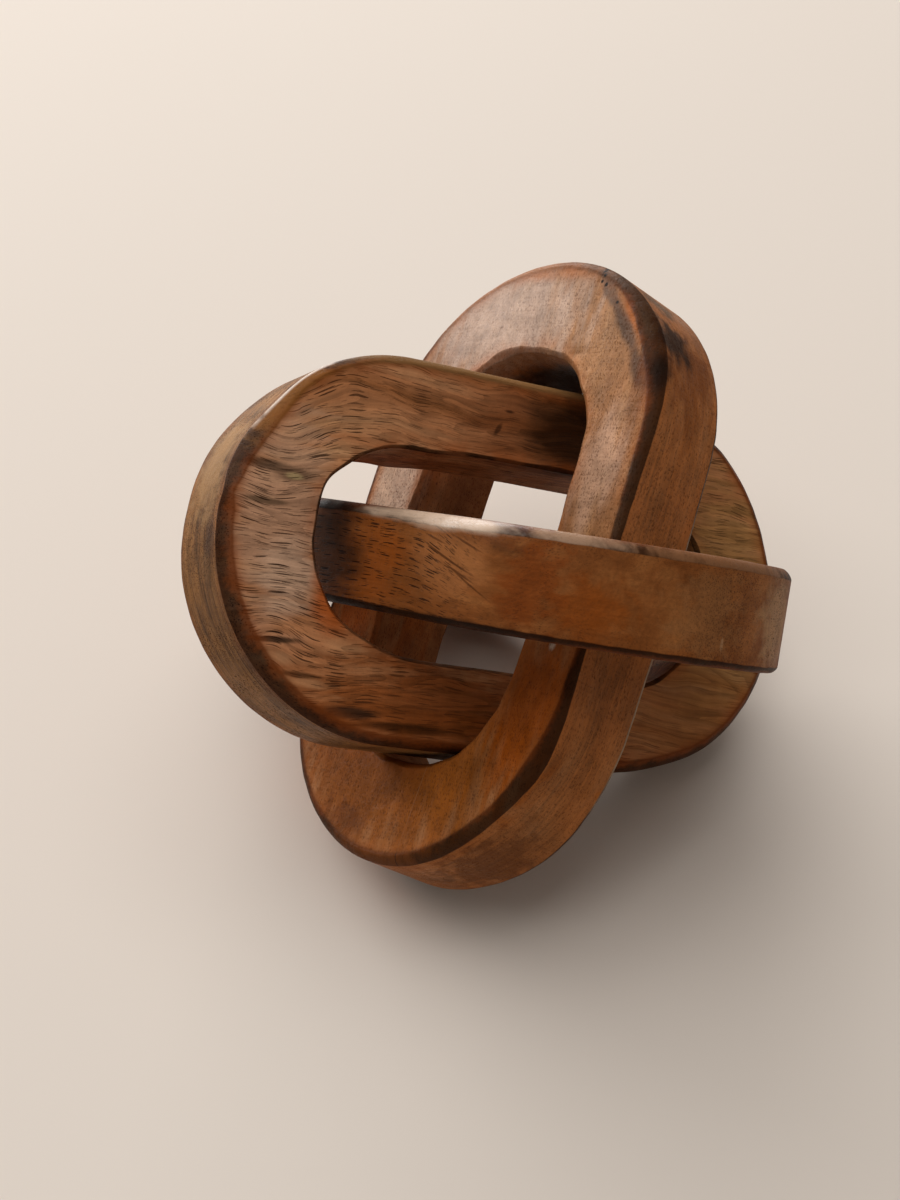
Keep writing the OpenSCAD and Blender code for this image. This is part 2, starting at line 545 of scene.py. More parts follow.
@dataclass(frozen=True)
class DriedGlue:
    """Wood glue, pressed out between two halves and sanded off with them: a thin dull line full of dust.

    The dust hides it on the faces, pale at the upper end and oiled at the lower. On the bevels it took up stain.
    """

    name: str = "dried_wood_glue_line"
    stained: str = "#2a170c"
    dusty: str = "#a67c5a"
    oiled: str = "#84491a"

    def build(self, place: Matrix) -> bpy.types.Material:
        """Makes the material.

        Args:
            place: The move from the link's own axes to the shared frame.

        Returns:
            The finished material.
        """
        material, tree = new_material(self.name)
        plank = link_places(tree, place)
        # Dust fills the line over stretches of about 4 mm, and more of it towards the upper end, 70 mm up
        dust = add_node(tree, "TexNoise", {"Vector": plank, "Scale": 1 / 4, "Detail": 3.0})[0]
        along = add_node(tree, "SeparateXYZ", (plank,))["X"]
        upper = add_node(tree, "Math", (along, 1 / 70, dust), operation="MULTIPLY_ADD")[0]
        share = add_node(tree, "MapRange", (upper, -0.65, 0.6, 0.0, 1.0))[0]
        bevel = add_node(tree, "Attribute", attribute_name="bevel")["Fac"]
        colour: Socket | Sequence[float] = linear(self.oiled)
        for part, hue in ((share, self.dusty), (bevel, self.stained)):
            colour = add_node(tree, "Mix", {0: part, 6: colour, 7: linear(hue)}, data_type="RGBA")[2]
        bump = add_node(tree, "Bump", {"Height": dust, "Strength": 0.4, "Distance": 0.1 * MM})[0]
        looks = {"Base Color": colour, "Roughness": 0.55, "Normal": bump, "IOR": 1.47, "Specular IOR Level": 0.06}
        shader = add_node(tree, "BsdfPrincipled", looks)[0]
        add_node(tree, "OutputMaterial", {"Surface": shader})
        return material


@dataclass(frozen=True)
class PaintedFloor:
    """Smooth board with matt emulsion paint: pale and even, with a faint roller mottle."""

    name: str = "matt_emulsion_floor"
    colour: str = "#ded2c6"

    def build(self) -> bpy.types.Material:
        """Makes the material.

        Returns:
            The finished material.
        """
        material, tree = new_material(self.name)
        own = add_node(tree, "TexCoord")["Object"]
        # A roller leaves a mottle about 4 mm across
        mottle = add_node(tree, "TexNoise", {"Vector": own, "Scale": 1 / (4 * MM), "Detail": 2.0})[0]
        bump = add_node(tree, "Bump", {"Height": mottle, "Strength": 0.05, "Distance": 0.1 * MM})[0]
        looks = {"Base Color": linear(self.colour), "Roughness": 0.85, "Normal": bump}
        shader = add_node(tree, "BsdfPrincipled", looks)[0]
        add_node(tree, "OutputMaterial", {"Surface": shader})
        return material


@dataclass(frozen=True)
class LinkSizes:
    """Sizes that all three links share, in mm.

    A broad face is about as wide as face between its bevel and its rim, and the outer wall about twice as
    high as half_wall between its bevels.
    """

    thickness: float = 22.75
    side_bar: float = 19.75
    end_bar: float = 22.5
    face_play: float = 12.25
    edge_play: float = 8.0
    front_bevel: float = 2.05
    back_bevel: float = 1.35
    rim: float = 0.7
    face: float = 18.0
    half_wall: float = 9.0

    @property
    def slot_width(self) -> float:
        """Width of the slot."""
        return self.thickness + 2 * self.face_play

    @property
    def width(self) -> float:
        """Width of the link."""
        return self.slot_width + 2 * self.side_bar

    @property
    def slot_length(self) -> float:
        """Length of the slot."""
        return self.width + 2 * self.edge_play

    @property
    def length(self) -> float:
        """Length of the link."""
        return self.slot_length + 2 * self.end_bar

    @property
    def outer_straight(self) -> float:
        """Half the length of the outer straight sides."""
        return (self.length - self.width) / 2

    @property
    def slot_straight(self) -> float:
        """Half the length of the slot's straight sides."""
        return (self.slot_length - self.slot_width) / 2

    @property
    def lap(self) -> float:
        """Distance once round the outline."""
        return math.pi * self.width + 4 * self.outer_straight


class Line(Enum):
    """The four lines that the maker saws along, two on each broad face of a link."""

    OUTER_FRONT = "outer front"
    OUTER_BACK = "outer back"
    SLOT_FRONT = "slot front"
    SLOT_BACK = "slot back"


@dataclass(frozen=True)
class Waver:
    """How a hand strays from an even cut: how far, where its waves start in radians, and their counts and shares."""

    swing: float
    start: float
    waves: tuple[tuple[int, float], ...]


@dataclass(frozen=True)
class Stray:
    """A place where the saw left its line, in mm: above 0 it went away from the link's middle."""

    line: Line
    x: float
    y: float
    reach: float
    shift: float


@dataclass(frozen=True)
class BevelCut:
    """A stretch of the front bevel that is wider or narrower, in mm round the outline from the +x tip."""

    at: float
    reach: float
    extra: float


@dataclass(frozen=True)
class Dent:
    """A knock in a link's front face, in mm."""

    x: float
    y: float
    long: float
    wide: float
    deep: float


class Share(Enum):
    """How much of a link one piece is."""

    WHOLE = "whole"
    LEFT_HALF = "left half"
    RIGHT_HALF = "right half"
    GLUE = "glue"


@dataclass(frozen=True)
class Seam:
    """Where a link was sawn in two and glued: how far off its long axis, how far askew, and how thick, in mm."""

    offset: float = -10.75
    skew: float = -3.1
    glue_line: float = 0.2

    @property
    def way(self) -> Vector:
        """Direction across the seam."""
        turn = math.radians(self.skew)
        return Vector((-math.sin(turn), math.cos(turn), 0.0))

    def edge(self, side: int) -> Vector:
        """Finds a point on one face of the glue, in metres, on the side of the left half if side is 1."""
        return (Vector((0.0, self.offset, 0.0)) + side * self.glue_line / 2 * self.way) * MM


@dataclass
class CarvedLink:
    """One oval link, as a maker saws, bevels and sands it."""

    body: str
    step: float
    lean: Triple
    sizes: LinkSizes = LinkSizes()
    seam: Seam = Seam()
    strays: tuple[Stray, ...] = ()
    bevel_cuts: tuple[BevelCut, ...] = ()
    dents: tuple[Dent, ...] = ()
    shave: Waver = Waver(0.08, 0.4, ((2, 1.0), (5, 0.7), (9, 0.5), (23, 0.3)))
    widen: Waver = Waver(0.10, 2.6, ((2, 1.0), (4, 0.9), (7, 0.7), (19, 0.3)))
    rim_share: Waver = Waver(0.3, 1.2, ((11, 1.0), (17, 0.8), (29, 0.8)))
    bevel_slow: Waver = Waver(0.26, 0.9, ((3, 1.0), (5, 0.8), (8, 0.6)))
    bevel_quick: Waver = Waver(0.09, 1.8, ((37, 1.0), (53, 0.9), (71, 0.7)))
    hollow: float = 0.05
    roundness: float = 0.1
    glow_reach: float = 2.0
    wall_glow: float = 0.4
    stain_fade: float = 0.6
    phase: float = 0.0
    heading: float = 198.0
    rest_share: float = 0.980621
    arc_steps: int = 92
    straight_steps: int = 62
    face_steps: int = 26
    wall_steps: int = 18

    def placement(self, nodes: Sequence[str]) -> Matrix:
        """Finds where the link rests.

        Args:
            nodes: The CAD nodes that make up the whole link.

        Returns:
            The move from the link's own axes, in metres, to the shared frame.
        """
        boxes = [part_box(node) for node in nodes]
        low = Vector([min(box[0][i] for box in boxes) for i in range(3)])
        high = Vector([max(box[1][i] for box in boxes) for i in range(3)])
        about = Euler((0, 0, math.radians(self.heading + self.step)))
        # A square knot stands on one corner, so all three axes of each link slope alike
        corner = Euler((math.radians(-45), -math.atan(1 / math.sqrt(2)), 0))
        settled = Euler([math.radians(self.rest_share * angle) for angle in self.lean])
        turn = about.to_matrix() @ corner.to_matrix() @ settled.to_matrix()
        return Matrix.LocRotScale((low + high) / 2, turn.to_quaternion(), None)

    def outline(self) -> tuple[np.ndarray, np.ndarray, np.ndarray]:
        """Walks once round the link.

        Returns:
            For each step, the place of the end's middle from -1 to 1, the outward direction, and the
            distance walked from the +x tip in mm.
        """
        quarter = np.linspace(0, math.pi / 2, self.arc_steps, endpoint=False)
        along = np.linspace(1, -1, self.straight_steps, endpoint=False)
        end = np.linspace(math.pi / 2, math.pi, self.arc_steps + 1)
        angle = np.concatenate([quarter, np.full(len(along), math.pi / 2), end])
        middle = np.concatenate([np.ones(len(quarter)), along, -np.ones(len(end))])
        walked = self.sizes.width / 2 * angle + self.sizes.outer_straight * (1 - middle)
        angle = np.concatenate([angle, -angle[-2:0:-1]])
        walked = np.concatenate([walked, -walked[-2:0:-1]])
        middle = np.concatenate([middle, middle[-2:0:-1]])
        return middle, np.stack([np.cos(angle), np.sin(angle)], 1), walked

    def wobble(self, walked: np.ndarray, waver: Waver, side: int = 1) -> np.ndarray:
        """Adds up gentle waves, as a hand makes them.

        Args:
            walked: Distance round the outline in mm.
            waver: The waves.
            side: 1 for the front of the link, or -1 for the back.

        Returns:
            How far the hand strays at each step.
        """
        start = side * waver.start + self.phase
        # Each count starts a little further on, so that the waves don't all begin together
        sums = [
            share * np.sin(2 * math.pi * count * walked / self.sizes.lap + start + 1.7 * count)
            for count, share in waver.waves
        ]
        return waver.swing * np.sum(sums, axis=0) / sum(share for _, share in waver.waves)

    def bevel_width(self, walked: np.ndarray, front: bool) -> np.ndarray:
        """Width of an outer bevel along the link.

        Args:
            walked: Distance round the outline in mm.
            front: Whether the bevel belongs to the front face.

        Returns:
            Width in mm for each step.
        """
        side = 1 if front else -1
        width = self.sizes.front_bevel if front else self.sizes.back_bevel
        width = width + self.wobble(walked, self.bevel_slow, side) + self.wobble(walked, self.bevel_quick, side)
        for cut in self.bevel_cuts if front else ():
            gap = (walked - cut.at + self.sizes.lap / 2) % self.sizes.lap - self.sizes.lap / 2
            width = width + cut.extra * np.exp(-((gap / cut.reach) ** 2))
        return width

    def sawn(self, line: Line, points: np.ndarray, way: np.ndarray, ease: np.ndarray) -> np.ndarray:
        """Follows one line as the saw did.

        Args:
            line: The line.
            points: Its drawn course in mm.
            way: Direction away from the link's middle at each step.
            ease: How far sanding moved the line that way, in mm.

        Returns:
            The sawn course in mm.
        """
        shift = ease.copy()
        for stray in self.strays:
            if stray.line is line:
                away = np.hypot(points[:, 0] - stray.x, points[:, 1] - stray.y)
                shift += stray.shift * np.exp(-((away / stray.reach) ** 2))
        return points + way * shift[:, None]

    def section(self) -> list[tuple[str, float]]:
        """Lists the rows of one closed section, from the outer wall over the front face to the slot and back.

        Returns:
            A zone and a share along that zone for each row.
        """
        # Rows close to the edges of the walls and faces keep the bevels crisp
        wall = sorted([-1 + 2 * i / self.wall_steps for i in range(1, self.wall_steps)] + [-0.975, 0.975])
        face = sorted([i / self.face_steps for i in range(self.face_steps + 1)] + [0.012, 0.988])
        slope = [0.0, 0.07, 0.22, 0.4, 0.6, 0.78, 0.93]
        ease = [0.3, 0.7]
        slot = [-share for share in (-1.0, *wall, 1.0)]
        front = (("front_bevel", slope), ("front_face", face), ("front_rim", ease))
        back = (("back_rim", ease[::-1]), ("back_face", face[::-1]), ("back_bevel", slope[::-1]))
        zones = (("wall", wall), *front, ("slot", slot), *back)
        return [(zone, share) for zone, shares in zones for share in shares]

    def surface(self) -> tuple[np.ndarray, dict[str, np.ndarray]]:
        """Works out every point of the link's skin.

        Returns:
            Points in mm by step and row, and the shares of bevel, wall, rim and edge glow at each.
        """
        size = self.sizes
        middle, way, walked = self.outline()
        top = size.thickness / 2
        shave = self.shave.swing + self.wobble(walked, self.shave)
        widen = self.widen.swing + self.wobble(walked, self.widen)
        rim = size.rim * (1 + self.wobble(walked, self.rim_share))
        base = np.zeros_like(way)
        base[:, 0] = middle
        drawn_outer = base * size.outer_straight + way * size.width / 2
        drawn_slot = base * size.slot_straight + way * size.slot_width / 2
        outer = [self.sawn(line, drawn_outer, way, -shave) for line in (Line.OUTER_BACK, Line.OUTER_FRONT)]
        slot = [self.sawn(line, drawn_slot, way, widen) for line in (Line.SLOT_BACK, Line.SLOT_FRONT)]
        bevels = [self.bevel_width(walked, False), self.bevel_width(walked, True)]
        points: list[np.ndarray] = []
        shares: dict[str, list[float]] = {"bevel": [], "across": [], "wall": [], "rim": [], "glow": []}
        for zone, share in self.section():
            front = 0 if zone.startswith("back") else 1
            sign = 2 * front - 1
            marks = dict.fromkeys(shares, 0.0)
            if zone == "wall":
                low, high = -top + bevels[0], top - bevels[1]
                plane = outer[0] + (outer[1] - outer[0]) * (share + 1) / 2
                level = low + (high - low) * (share + 1) / 2
                inward = size.half_wall * (1 - abs(share))
                marks["wall"], marks["glow"] = 1.0, self.wall_glow * math.exp(-((inward / self.glow_reach) ** 2))
            elif zone.endswith("bevel"):
                bulge = self.roundness * bevels[front] * 4 * share * (1 - share) / math.sqrt(2)
                plane = outer[front] + way * (bulge - share * bevels[front])[:, None]
                level = sign * (top + bulge - (1 - share) * bevels[front])
                marks["bevel"], marks["across"], marks["glow"] = 1.0, share, 1.0
            elif zone.endswith("face"):
                start = outer[front] - way * bevels[front][:, None]
                stop = slot[front] + way * rim[:, None]
                plane = start + (stop - start) * share
                level = np.full(len(way), sign * top)
                inward = size.face * min(share, 1 - share)
                marks["bevel"], marks["across"] = math.exp(-((size.face * share / self.stain_fade) ** 2)), 1.0
                marks["rim"], marks["glow"] = float(share == 1.0), math.exp(-((inward / self.glow_reach) ** 2))
            elif zone.endswith("rim"):
                plane = slot[front] + way * ((1 - share) * rim)[:, None]
                level = sign * (top - share * rim)
                marks["rim"], marks["glow"] = 1.0, 1.0
            else:
                plane = slot[0] + (slot[1] - slot[0]) * (share + 1) / 2
                level = share * (top - rim)
                marks["rim"] = float(abs(share) == 1.0)
            points.append(np.column_stack([plane, level]))
            for name, value in marks.items():
                shares[name].append(value)
        grid = np.stack(points, 1)
        self.sand(grid)
        return grid, {name: np.tile(values, (len(way), 1)) for name, values in shares.items()}

    def sand(self, grid: np.ndarray) -> None:
        """Hollows the broad faces a little, as a sanding belt does, and knocks in the dents.

        Args:
            grid: Points in mm, changed in place.
        """
        top = self.sizes.thickness / 2
        x, y, z = grid[..., 0].copy(), grid[..., 1].copy(), grid[..., 2].copy()
        on_face = np.abs(np.abs(z) - top) < 1e-6
        # The hollows are 40 to 80 mm long, and from 0 to 3.2 times the usual depth, so no point stands proud
        sway = np.sin(x / 13.0 + self.phase) * np.cos(y / 9.0 + 2 * self.phase) + 0.6 * np.sin(x / 6.1 - y / 7.3)
        grid[..., 2] = np.where(on_face, z - np.sign(z) * self.hollow * (1.6 + sway), z)
        for dent in self.dents:
            knock = np.exp(-(((x - dent.x) / dent.long) ** 2) - ((y - dent.y) / dent.wide) ** 2)
            grid[..., 2] -= np.where(on_face & (z > 0), dent.deep * knock, 0)

    def cut(self, bm: bmesh.types.BMesh, plane: Vector, keep: int) -> None:
        """Saws a link along one face of its glue and closes the cut.

        Args:
            bm: The link's mesh in its own axes, changed in place.
            plane: A point on the cut.
            keep: 1 to keep the side of the left half, or -1 to keep the other.
        """
        bmesh.ops.bisect_plane(
            bm,
            geom=[*bm.verts, *bm.edges, *bm.faces],
            dist=1e-8,
            plane_co=plane,
            plane_no=self.seam.way,
            clear_inner=keep > 0,
            clear_outer=keep < 0,
        )
        open_edges = [edge for edge in bm.edges if edge.is_boundary]
        for edge in open_edges:
            edge.smooth = False
        for face in bmesh.ops.holes_fill(bm, edges=open_edges, sides=0)["faces"]:
            face.smooth = False

    def piece(self, name: str, part: Share, place: Matrix, finish: bpy.types.Material) -> bpy.types.Object:
        """Makes one piece of the link.

        Args:
            name: The piece's name.
            part: How much of the link it is.
            place: The move to the shared frame.
            finish: Its material.

        Returns:
            The new object, in place.
        """
        grid, shares = self.surface()
        steps, rows = grid.shape[:2]
        here = np.arange(steps * rows).reshape(steps, rows)
        ahead = np.roll(here, -1, 0)
        quads = np.stack([here, ahead, np.roll(ahead, -1, 1), np.roll(here, -1, 1)], -1).reshape(-1, 4)
        mesh = bpy.data.meshes.new(name)
        mesh.from_pydata((grid.reshape(-1, 3) * MM).tolist(), [], quads.tolist())
        for label, values in shares.items():
            mesh.attributes.new(label, "FLOAT", "POINT").data.foreach_set("value", values.astype(np.float32).ravel())
        mesh.polygons.foreach_set("use_smooth", np.ones(len(quads), dtype=bool))
        bm = bmesh.new()
        bm.from_mesh(mesh)
        if part in (Share.LEFT_HALF, Share.GLUE):
            self.cut(bm, self.seam.edge(1 if part is Share.LEFT_HALF else -1), 1)
        if part in (Share.RIGHT_HALF, Share.GLUE):
            self.cut(bm, self.seam.edge(-1 if part is Share.RIGHT_HALF else 1), -1)
        bmesh.ops.recalc_face_normals(bm, faces=bm.faces)
        bm.transform(place)
        bm.to_mesh(mesh)
        bm.free()
        mesh.materials.append(finish)
        return add_object(name, mesh)


@dataclass(frozen=True)
class SoftLamp:
    """A large flat lamp: where it hangs and its size in metres, its power in watts, and the height that it faces."""

    name: str
    place: Triple
    size: tuple[float, float]
    power: float
    aim: float = 0.05

    def hang(self) -> None:
        """Hangs the lamp so that it faces the knot."""
        lamp = bpy.data.lights.new(self.name, "AREA")
        lamp.shape = "RECTANGLE"
        lamp.size, lamp.size_y = self.size
        lamp.energy = self.power
        holder = add_object(self.name, lamp)
        holder.location = self.place
        way = Vector((0, 0, self.aim)) - Vector(self.place)
        holder.rotation_euler = way.to_track_quat("-Z", "Y").to_euler()


@dataclass
class Studio:
    """Pale floor, soft light from a ceiling and a low wide window behind, some light all round, and the camera."""

    floor_size: float = 6.0
    room_light: float = 0.26
    room_colour: str = "#f5f1ec"
    lamps: tuple[SoftLamp, ...] = (
        SoftLamp("ceiling", (-0.3, 0.3, 2.2), (2.4, 2.4), 34.0),
        SoftLamp("window", (-0.85, 1.65, 0.5), (2.5, 0.9), 48.0),
    )
    lens: float = 67.907
    eye: Triple = (0.004886, -0.36606, 0.427172)
    right: Triple = (0.999357, 0.00419, -0.03561)
    up: Triple = (0.021482, 0.72519, 0.688214)

    def build(self) -> None:
        """Builds the floor, the lights and the camera."""
        self._floor()
        self._lights()
        self._camera()
        bpy.context.scene.view_settings.view_transform = "Standard"

    def _floor(self) -> None:
        """Lays the floor under the knot."""
        half = self.floor_size / 2
        mesh = bpy.data.meshes.new("floor")
        corners = [(-half, -half, 0), (half, -half, 0), (half, half, 0), (-half, half, 0)]
        mesh.from_pydata(corners, [], [(0, 1, 2, 3)])
        mesh.materials.append(PaintedFloor().build())
        add_object("floor", mesh)

    def _lights(self) -> None:
        """Hangs the lamps and fills the room with an even light."""
        world = bpy.data.worlds.new("studio_room")
        world.use_nodes = True
        tree = world.node_tree
        tree.nodes.clear()
        room = add_node(tree, "Background", {"Color": linear(self.room_colour), "Strength": self.room_light})[0]
        add_node(tree, "OutputWorld", {"Surface": room})
        bpy.context.scene.world = world
        for lamp in self.lamps:
            lamp.hang()

    def _camera(self) -> None:
        """Sets the camera where the photographer stood."""
        data = bpy.data.cameras.new("camera")
        data.lens = self.lens
        data.sensor_width = 36.0
        data.clip_start = 0.01
        camera = add_object("camera", data)
        right = Vector(self.right).normalized()
        back = right.cross(Vector(self.up)).normalized()
        turn = Matrix((right, back.cross(right), back)).transposed()
        camera.matrix_world = Matrix.LocRotScale(Vector(self.eye), turn.to_quaternion(), None)
        bpy.context.scene.camera = camera


LEFT_WOOD = OiledHardwood(
    name="mango_wood_oiled_tan",
    dark="#986038",
    middle="#b4784e",
    pale="#c89468",
    pore="#2a1408",
    stain="#140904",
    stain_glow="#6a3210",
    edge_glow="#9a4a16",
    wall="#6b4926",
    wall_share=0.85,
    wall_streak=0.8,
    pores=Vessels(7.5, 0.38, 0.38, 0.85),
    dots=Vessels(5.0, 0.26, 0.40, 0.65),
    run_out=(1.0, 0.12),
    ring_depth=0.26,
    fibre_depth=0.22,
    bumps=0.15,
    glow_share=0.5,
    stain_reach=1.35,
    bows=(
        Bow((61, -21, FACE), (8.5, 16, 14), (0, 5, 0)),
        Bow((59.5, 24, FACE), (7, 9, 14), (0, -2.8, 0)),
    ),
    patches=(
        # Pale round end, warm corner of the slot and lower arm, painted shadow of the upright across the upper arm,
        # dull far end
        Patch((60, -2, FACE), (19, 34, 10), "#c49a7c", 0.65),
        Patch((57, 10, FACE), (9, 12, 10), "#d2b094", 0.45),
        Patch((47, 14.5, FACE), (6, 11, 10), "#b4551a", 0.75),
        Patch((52, 24, FACE), (12, 9, 10), "#bc7c52", 0.45),
        Patch((22, 33, FACE), (46, 13, 12), "#8a420c", 0.8),
        Patch((0, -32, FACE), (24, 15, 12), "#6a3414", 0.6, 0.25),
        Patch((-12, -32, FACE), (18, 15, 12), "#1e0d04", 0.88, 0.25),
        Patch((-60, 0, FACE), (24, 46, 14), "#9c7642", 0.6),
        # Mineral streaks, among them a small knot with a pale heart
        Patch((65, -13.8, FACE), (7.5, 1.6, 6), "#3a2a1c", 0.75, 0.4),
        Patch((57.7, -12.2, FACE), (6.5, 2.6, 6), "#4e3825", 0.65, 0.4),
        Patch((57.7, -11.9, FACE), (2.8, 1.1, 5), "#b89c6e", 0.85, 0.3),
        Patch((64.2, -5.7, FACE), (7, 1.1, 6), "#54402c", 0.7, 0.4),
        Patch((59.6, 23.6, FACE), (8, 0.9, 6), "#2e2117", 0.85, 0.25, heading=3),
        Patch((59, 27.4, FACE), (6, 2, 6), "#c09068", 0.7, 0.4),
        Patch((52.6, 30.4, FACE), (7, 1, 6), "#36200f", 0.7, 0.4),
        Patch((40.5, 37.2, FACE), (11, 2, 8), "#2b221a", 0.85, 0.4, heading=2),
        Patch((26, 39.2, FACE), (17, 1.8, 8), "#241608", 0.8, 0.4, heading=1),
        # Corner of the far end, painted lighter and warmer where light falls on it
        Patch((-50, 30, FACE), (28, 20, 8), "#9a5f2f", 0.65),
        # Two nicks in the upper arm
        Patch((5.5, -35.3, FACE), (2, 0.6, 4), "#2a160a", 0.8, 0.4),
        Patch((8.3, -30.6, FACE), (2.4, 0.8, 4), "#321a0c", 0.7, 0.5, heading=60),
        # Upper end wall painted paler where light falls on it, warm upper bevel, top bevel painted tan where it
        # catches the light, and a painted glint along the upper ridge
        Patch((71, -17, -1), (10, 22, 10), "#a88258", 0.55, 0.7, Lies.OVER),
        Patch((60, -33, 10), (18, 17, 9), "#96602e", 0.75, 0.8, Lies.BEVEL),
        Patch((15, -42, 10), (50, 9, 9), "#8a643c", 0.85, 0.5, Lies.BEVEL),
        Patch((58, -34, 9), (18, 17, 9), "#dccabb", 0.95, 0.5, Lies.RIDGE),
    ),
    fills=(
        Spot((8, -32, FACE), (30, 14, 10), 0.6),
        Spot((14, 33, FACE), (28, 13, 10), 0.5),
        Spot((-60, 0, FACE), (24, 50, 10), 0.4),
        Spot((-44, 25, FACE), (20, 16, 10), 0.6),
    ),
)
CROSS_WOOD = OiledHardwood(
    name="mango_wood_oiled_red_brown",
    dark="#6c3a17",
    middle="#844c24",
    pale="#9c6234",
    pore="#1e0c04",
    stain="#150803",
    stain_glow="#5c2c0e",
    edge_glow="#6e3610",
    wall="#7a4a24",
    wall_share=0.2,
    pores=Vessels(5.5, 0.38, 0.40, 0.85),
    dots=Vessels(3.5, 0.28, 0.40, 0.6),
    run_out=(0.12, 1.0),
    figure=1.3,
    ripple=0.35,
    ring_depth=0.10,
    fibre_depth=0.16,
    bumps=0.1,
    place=(310, 40, 15),
    bows=(Bow((48, -43, 4), (15, 18, 14), (0, 0, -9)),),
    patches=(
        # Warm, dark and pale places along the outer wall
        Patch((8, -43.4, 0), (20, 8, 14), "#a25218", 0.7),
        # Painted shadow of the left link over the left end of the wall
        Patch((-10, -43.4, 0), (20, 9, 16), "#351603", 0.9, 0.7),
        Patch((36, -43, 1), (19, 8, 9), "#a86c40", 0.6),
        Patch((64, -27.6, -3.5), (10, 13, 9), "#883f07", 0.75),
        Patch((51.8, -37.8, -5), (5, 5, 5), "#2a1609", 0.35, 0.9),
        Patch((50, -39, 6), (9, 5, 2.5), "#2a1609", 0.45, 0.9),
        Patch((73.8, -4, -1.6), (8, 12, 12), "#8c5f3a", 0.6, 0.9),
        # Pale band on the rounded end, painted light where the end turns towards the light
        Patch((68, 20, 0.4), (9, 13, 14), "#b2895f", 0.7),
        Patch((73.9, 0.5, -6.2), (1, 0.5, 1.8), "#b48c66", 0.6, 0.4),
        Patch((54, -36, 0), (11, 10, 14), "#7e380a", 0.75, 0.9),
        # Fine diagonal lines, where the grain dives under the surface
        *(
            Patch((x, y, z), (long, deep, fine), "#341808", strength, 0.2, fall=fall)
            for x, y, z, long, deep, fine, strength, fall in (
                (34, -42.6, 2.5, 12, 4, 0.36, 0.85, 19),
                (38.5, -42.2, -0.3, 7, 4, 0.32, 0.75, 21),
                (41.8, -41.6, -2.3, 8, 4, 0.32, 0.75, 27),
                (39.6, -42.2, 6, 6.5, 4, 0.32, 0.7, 19),
                (30.1, -43.3, 6, 5, 3, 0.32, 0.7, 13),
            )
        ),
        # Upper bevel painted pale as a highlight, its right end partly its own warm colour and partly painted
        # highlight, and a dark lower edge
        Patch((33, -42, 10), (36, 7, 2.8), "#cdb096", 0.85, 0.5, Lies.OVER),
        Patch((59, -31, 10.4), (12, 16, 3), "#a88468", 0.8, 0.7, Lies.BEVEL),
        Patch((72, 2, 10), (10, 28, 5), "#8a5e3e", 0.75, 0.7, Lies.BEVEL),
        Patch((36, -40, -11), (56, 12, 2.2), "#1a0c05", 0.8, 0.5, Lies.OVER),
    ),
    polishes=(Spot((30, -42, 10), (33, 10, 3.5), 0.9),),
    fills=(Spot((66, -20, 0), (17, 28, 16), 1.0), Spot((46, -41, 0), (10, 10, 16), 0.8)),
)
